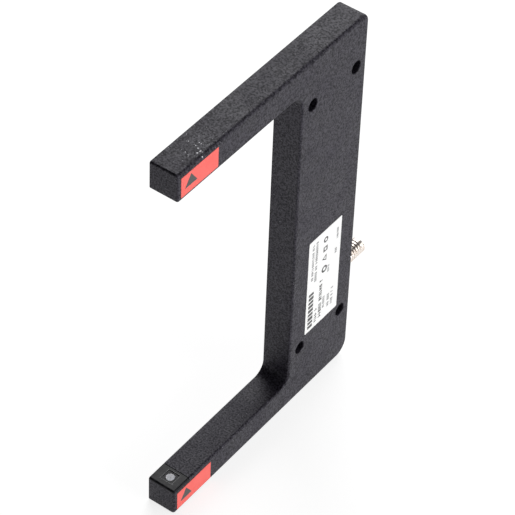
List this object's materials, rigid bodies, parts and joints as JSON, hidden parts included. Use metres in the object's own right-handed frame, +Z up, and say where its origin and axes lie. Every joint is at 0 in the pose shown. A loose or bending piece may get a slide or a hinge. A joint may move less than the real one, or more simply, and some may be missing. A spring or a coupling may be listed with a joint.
{
  "type": "photoelectric fork sensor",
  "caption": "C-shaped through-beam fork sensor with a wide opening, slim matt black housing, mounting holes and a threaded round connector.",
  "frame": {"origin": "centre of the four mounting holes, on the mounting face (the plain side of the spine)", "axes": "+X out of the label face, through the thickness; +Y out of the back face, along the connector; +Z up the spine; the fork opens towards -Y"},
  "size_m": [0.0151, 0.1505, 0.21],
  "materials": {
    "black_coat": "matt black powder coat on a die casting, fine grain",
    "cover_coat": "matt black powder coat on a pressed plate",
    "window_plastic": "dark filter plastic, polished",
    "lens_plastic": "frosted clear plastic",
    "label_red": "printed film",
    "label_white": "printed film",
    "nickel_plate": "nickel-plated brass",
    "insert_plastic": "moulded black",
    "contact_gold": "gold flashed",
    "seal_rubber": "nitrile",
    "screw_steel": "plain stainless",
    "holder_plastic": "moulded black",
    "emitter_resin": "clear red resin",
    "diode_resin": "dark filter resin",
    "board_laminate": "green solder mask",
    "ribbon_film": "flat ribbon, light film",
    "socket_plastic": "ivory moulding",
    "chip_resin": "moulded package",
    "capacitor_can": "bare can",
    "trimmer_plastic": "blue moulding",
    "rotor_plastic": "off-white moulding",
    "pipe_amber": "clear amber",
    "pipe_green": "clear green",
    "chip_light": "clear cap",
    "lead_jacket": "thin insulated lead"
  },
  "bodies": {
    "sensor": {"housing": "black_coat", "side_cover": "cover_coat", "cover_gasket": "seal_rubber", "cover_screws": "screw_steel", "transmitter_window": "window_plastic", "receiver_window": "window_plastic", "transmitter_lens": "lens_plastic", "receiver_lens": "lens_plastic", "transmitter_lens_holder": "holder_plastic", "receiver_lens_holder": "holder_plastic", "transmitter_emitter": "emitter_resin", "receiver_photodiode": "diode_resin", "transmitter_board": "board_laminate", "receiver_board": "board_laminate", "transmitter_ribbon": "ribbon_film", "receiver_ribbon": "ribbon_film", "ribbon_sockets": "socket_plastic", "main_board": "board_laminate", "controller_chip": "chip_resin", "voltage_regulator": "chip_resin", "board_capacitors": "capacitor_can", "board_resistors": "chip_resin", "board_screws": "screw_steel", "sensitivity_trimmer_body": "trimmer_plastic", "mode_selector_body": "trimmer_plastic", "adjuster_seals": "seal_rubber", "output_light_pipe": "pipe_amber", "power_light_pipe": "pipe_green", "output_indicator_chip": "chip_light", "power_indicator_chip": "chip_light", "connector_shell": "nickel_plate", "connector_o_ring": "seal_rubber", "connector_nut": "nickel_plate", "connector_insert": "insert_plastic", "connector_pins": "contact_gold", "connector_leads": "lead_jacket", "rating_label": "label_white", "transmitter_label": "label_red", "receiver_label": "label_red"},
    "sensitivity_trimmer": {"sensitivity_trimmer_rotor": "rotor_plastic"},
    "mode_selector": {"mode_selector_rotor": "rotor_plastic"}
  },
  "joints": [
    {"name": "sensitivity_turn", "type": "hinge", "parent": "sensor", "child": "sensitivity_trimmer", "pos_m": [0.0075, 0.0236, -0.0325], "axis": [0, 1, 0], "range_deg": [-135, 135]},
    {"name": "mode_turn", "type": "hinge", "parent": "sensor", "child": "mode_selector", "pos_m": [0.0075, 0.0236, -0.0185], "axis": [0, 1, 0], "range_deg": [0, 90]}
  ]
}
